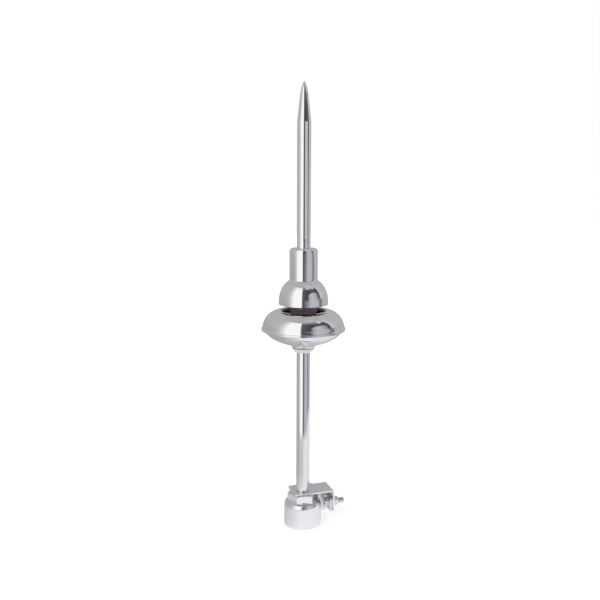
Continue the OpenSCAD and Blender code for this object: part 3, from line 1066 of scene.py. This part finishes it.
# %% Build the reflecting drum
BOOTH_R = 0.37
BOOTH_TOP = 1.5
BOOTH_LIFT = 0.0006


def only_mirrored(card):
    card.visible_camera = False
    card.visible_diffuse = False
    card.visible_shadow = False
    card.visible_transmission = False
    card.visible_volume_scatter = False


bpy.ops.object.select_all(action="DESELECT")
bpy.ops.mesh.primitive_cylinder_add(vertices=128, radius=BOOTH_R, depth=BOOTH_TOP, end_fill_type="NGON",
                                    location=(0, 0, BOOTH_TOP / 2 + BOOTH_LIFT))
booth = bpy.context.object
booth.name = "booth"
bpy.ops.object.transform_apply(location=True, rotation=True, scale=True)
booth.data.materials.append(booth_paint())
only_mirrored(booth)
print("booth", booth.dimensions)

# %% [markdown]
# The upper rod is so slim that the dark gap would fill half of it. A photographer would stand a small
# pale card close beside it, where hardly anything else can see it, and the scene does the same.

# %% Stand a pale card beside the rod
CARD_R = 0.075
CARD_ANGLE = AZIMUTH + math.radians(37)
CARD_W = 0.062
CARD_LOW = 0.43
CARD_HIGH = 0.61

bpy.ops.object.select_all(action="DESELECT")
bpy.ops.mesh.primitive_plane_add(size=1, location=(0, 0, 0))
card = bpy.context.object
card.name = "rod_card"
card.scale = (CARD_W, CARD_HIGH - CARD_LOW, 1)
card.rotation_euler = (math.pi / 2, 0, CARD_ANGLE + math.pi / 2)
card.location = (CARD_R * math.cos(CARD_ANGLE), CARD_R * math.sin(CARD_ANGLE), (CARD_LOW + CARD_HIGH) / 2)
bpy.ops.object.transform_apply(location=True, rotation=True, scale=True)
card_paint = bpy.data.materials.new("card_glow")
card_paint.use_nodes = True
tree = card_paint.node_tree
tree.nodes.remove(tree.nodes["Principled BSDF"])
glow = tree.nodes.new("ShaderNodeEmission")
put(glow, {"Color": grey(0.60, 0.08)})
tree.links.new(glow.outputs[0], tree.nodes["Material Output"].inputs["Surface"])
card.data.materials.append(card_paint)
only_mirrored(card)
print("card", card.dimensions)

# %% [markdown]
# ## Floor, backdrop and light
# The picture has a plain white ground. The floor and the world are white to the camera and to
# reflections, and the floor keeps part of its own shading, so the shadow at the foot stays. Three soft
# lamps and a weak sky light the plain pieces at a level where a colour looks about as it is written.

# %% Build floor and world
FLOOR_GLOW = 1.22
SHADE_FROM, SHADE_TO = 0.12, 0.55
SHADE_SHARE = 0.6
SKY = 0.5

bpy.ops.object.select_all(action="DESELECT")
bpy.ops.mesh.primitive_plane_add(size=12, location=(0, 0, -0.0002))
floor = bpy.context.object
floor.name = "floor"
bpy.ops.object.transform_apply(location=True, rotation=True, scale=True)
floor_paint = bpy.data.materials.new("floor_white")
floor_paint.use_nodes = True
tree = floor_paint.node_tree
matte = tree.nodes["Principled BSDF"]
put(matte, {"Base Color": (0.82, 0.82, 0.83, 1), "Roughness": 0.9, "Specular IOR Level": 0.0})
seen = tree.nodes.new("ShaderNodeLightPath")
either = tree.nodes.new("ShaderNodeMath")
either.operation = "MAXIMUM"
glow = tree.nodes.new("ShaderNodeEmission")
put(glow, {"Color": (1, 1, 1, 1), "Strength": FLOOR_GLOW})
spot = tree.nodes.new("ShaderNodeTexCoord")
away = tree.nodes.new("ShaderNodeVectorMath")
away.operation = "LENGTH"
plain = tree.nodes.new("ShaderNodeMapRange")
put(plain, {"From Min": SHADE_FROM, "From Max": SHADE_TO, "To Min": SHADE_SHARE, "To Max": 1.0})
share = tree.nodes.new("ShaderNodeMath")
share.operation = "MULTIPLY"
blend = tree.nodes.new("ShaderNodeMixShader")
link = tree.links.new
link(seen.outputs["Is Camera Ray"], either.inputs[0])
link(seen.outputs["Is Glossy Ray"], either.inputs[1])
link(spot.outputs["Object"], away.inputs[0])
link(away.outputs["Value"], plain.inputs["Value"])
link(plain.outputs["Result"], share.inputs[1])
link(either.outputs[0], share.inputs[0])
link(share.outputs[0], blend.inputs["Fac"])
link(matte.outputs[0], blend.inputs[1])
link(glow.outputs[0], blend.inputs[2])
link(blend.outputs[0], tree.nodes["Material Output"].inputs["Surface"])
floor.data.materials.append(floor_paint)

world = bpy.data.worlds.new("white_room")
bpy.context.scene.world = world
world.use_nodes = True
tree = world.node_tree
sky = tree.nodes["Background"]
put(sky, {"Color": (1, 1, 1, 1)})
path = tree.nodes.new("ShaderNodeLightPath")
shown = tree.nodes.new("ShaderNodeMath")
shown.operation = "MAXIMUM"
through = tree.nodes.new("ShaderNodeMath")
through.operation = "MAXIMUM"
strength = tree.nodes.new("ShaderNodeMapRange")
put(strength, {"To Min": SKY, "To Max": 1.0})
link = tree.links.new
link(path.outputs["Is Camera Ray"], shown.inputs[0])
link(path.outputs["Is Glossy Ray"], shown.inputs[1])
link(shown.outputs[0], through.inputs[0])
link(path.outputs["Is Transmission Ray"], through.inputs[1])
link(through.outputs[0], strength.inputs["Value"])
link(strength.outputs["Result"], sky.inputs["Strength"])
print("floor", floor.dimensions, "under", world.name)


# %% [markdown]
# The lamps light only what is not a mirror: the neck, the bush and the floor. They are kept out of
# reflections, because their bright squares would show on the polish.

# %% Hang the lamps
def soft_lamp(name, place, size, watts):
    bpy.ops.object.select_all(action="DESELECT")
    bpy.ops.object.light_add(type="AREA", location=place)
    lamp = bpy.context.object
    lamp.name = name
    lamp.data.size = size
    lamp.data.energy = watts
    lamp.rotation_euler = (Vector((0, 0, 0.3)) - Vector(place)).to_track_quat("-Z", "Y").to_euler()
    lamp.visible_glossy = False
    print(name, "lamp,", watts, "W")


soft_lamp("key", (-1.3, -1.1, 1.6), 1.2, 22)
soft_lamp("fill", (1.5, -0.9, 1.0), 1.2, 9)
soft_lamp("back", (0.3, 1.6, 1.5), 1.2, 9)

# %% [markdown]
# ## The camera
# The picture looks slightly down on the head and more steeply on the foot, so the camera is near, a
# little to the left of the bracket's front, and tilted a few degrees. Its place was worked out from the
# openings of bell and lens above and from the bracket's top plate below.

# %% Place the camera
DISTANCE = 1.100
HEIGHT = 0.51716
TILT = math.radians(8.897)
ROLL = math.radians(0.19)
SIDESTEP = 0.0051
LENS = 45.6
SENSOR = 36

towards = Vector((math.cos(AZIMUTH), math.sin(AZIMUTH), 0))
right = Vector((-math.sin(AZIMUTH), math.cos(AZIMUTH), 0))
forward = -towards * math.cos(TILT) - Vector((0, 0, math.sin(TILT)))
up = right.cross(forward)
turned_view = Matrix((right, up, -forward)).transposed() @ Matrix.Rotation(ROLL, 3, "Z")
bpy.ops.object.select_all(action="DESELECT")
bpy.ops.object.camera_add(location=towards * DISTANCE - right * SIDESTEP + Vector((0, 0, HEIGHT)))
camera = bpy.context.object
camera.name = "camera"
camera.rotation_euler = turned_view.to_euler()
camera.data.lens = LENS
camera.data.sensor_width = SENSOR
bpy.context.scene.camera = camera
bpy.context.scene.view_settings.view_transform = "Standard"
print("camera at", tuple(round(v, 3) for v in camera.location))
